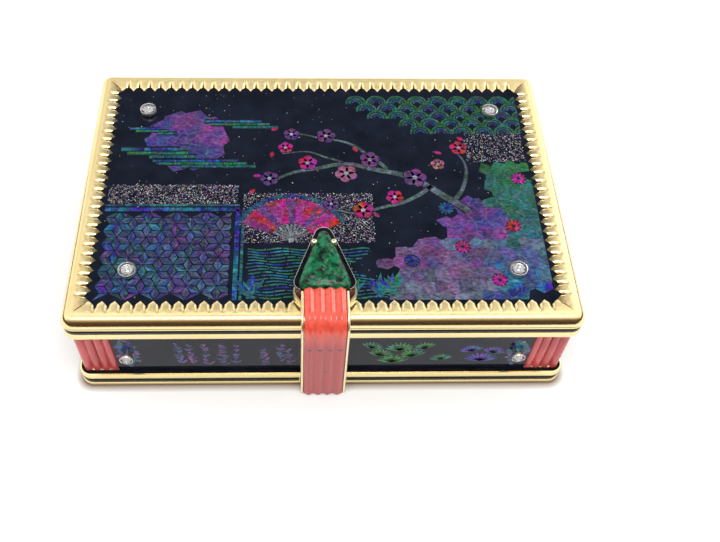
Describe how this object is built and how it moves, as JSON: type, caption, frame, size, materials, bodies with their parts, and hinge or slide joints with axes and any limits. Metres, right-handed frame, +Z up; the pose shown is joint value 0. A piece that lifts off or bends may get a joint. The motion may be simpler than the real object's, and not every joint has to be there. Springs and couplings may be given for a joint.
{
  "type": "powder compact",
  "caption": "Flat rectangular powder compact in gold, black lacquer and coral, with a hinged mirror lid, a slide-out clasp, powder wells and a lipstick.",
  "frame": {"origin": "centre of the case's flat bottom face", "axes": "+X along the width to the right, +Y towards the hinge at the back, +Z up through the lid"},
  "size_m": [0.0874, 0.0612, 0.0244],
  "materials": {
    "gold": "polished yellow gold",
    "inner_gold": "brushed yellow gold",
    "black_enamel": "gloss black enamel",
    "lacquer": "black lacquer inlaid with iridescent shell",
    "coral": "polished reeded coral",
    "emerald": "polished carved green stone",
    "diamond": "clear faceted stone",
    "white_metal": "polished white metal",
    "mirror_glass": "silvered mirror",
    "pad_card": "thin card",
    "powder": "pressed powder",
    "puff_cloth": "soft white velour",
    "lipstick": "satin wax",
    "steel": "spring steel"
  },
  "bodies": {
    "case": {"arm_guide": "inner_gold", "base_line": "black_enamel", "base_rim": "gold", "body_shell": "inner_gold", "bottom_plate": "inner_gold", "clasp_stop_pin": "steel", "coral_back_left": "coral", "coral_back_right": "coral", "coral_front_left": "coral", "coral_front_right": "coral", "deck_plate": "inner_gold", "detent_spring": "steel", "front_strip": "gold", "hinge_case_leaf": "gold", "hinge_pin": "steel", "lacquer_back": "lacquer", "lacquer_front_left": "lacquer", "lacquer_front_right": "lacquer", "lacquer_left": "lacquer", "lacquer_right": "lacquer", "lift_spring": "steel", "lipstick_pin": "steel", "lipstick_trough": "inner_gold", "powder_left": "powder", "powder_right": "powder", "side_collets": "white_metal", "side_diamonds": "diamond", "well_left": "inner_gold", "well_right": "inner_gold"},
    "lid": {"hinge_lid_knuckles": "gold", "lid_frame": "gold", "lid_line": "black_enamel", "lid_lacquer": "lacquer", "lid_backing": "inner_gold", "lid_collets": "white_metal", "lid_diamonds": "diamond", "mirror_frame": "inner_gold", "mirror": "mirror_glass", "mirror_pad": "pad_card"},
    "clasp": {"clasp_bracket": "gold", "clasp_lines": "black_enamel", "coral_strap": "coral", "head_line": "black_enamel", "emerald": "emerald", "head_prongs": "white_metal", "head_scrolls": "gold"},
    "lipstick": {"lipstick_tube": "gold"},
    "lipstick_slider": {"lipstick_carrier": "inner_gold", "lipstick_bullet": "lipstick"},
    "puff_left": {"puff_left": "puff_cloth", "puff_tab_left": "puff_cloth"},
    "puff_right": {"puff_right": "puff_cloth", "puff_tab_right": "puff_cloth"}
  },
  "joints": [
    {"name": "lid_hinge", "type": "hinge", "parent": "case", "child": "lid", "pos_m": [0, 0.02905, 0.0153], "axis": [-1, 0, 0], "range_deg": [0, 140]},
    {"name": "clasp_slide", "type": "slide", "parent": "case", "child": "clasp", "axis": [0, -1, 0], "range_m": [0, 0.015]},
    {"name": "lipstick_tilt", "type": "hinge", "parent": "case", "child": "lipstick", "pos_m": [-0.0205, -0.0202, 0.011], "axis": [0, -1, 0], "range_deg": [0, 11]},
    {"name": "lipstick_push", "type": "slide", "parent": "lipstick", "child": "lipstick_slider", "axis": [1, 0, 0], "range_m": [0, 0.013]},
    {"name": "puff_left_lift", "type": "slide", "parent": "case", "child": "puff_left", "axis": [0, 0, 1], "range_m": [0, 0.0035]},
    {"name": "puff_right_lift", "type": "slide", "parent": "case", "child": "puff_right", "axis": [0, 0, 1], "range_m": [0, 0.0035]}
  ],
  "couplings": [
    {"joint": "lipstick_tilt", "follows": "lid_hinge", "ratio": 0.078571}
  ]
}
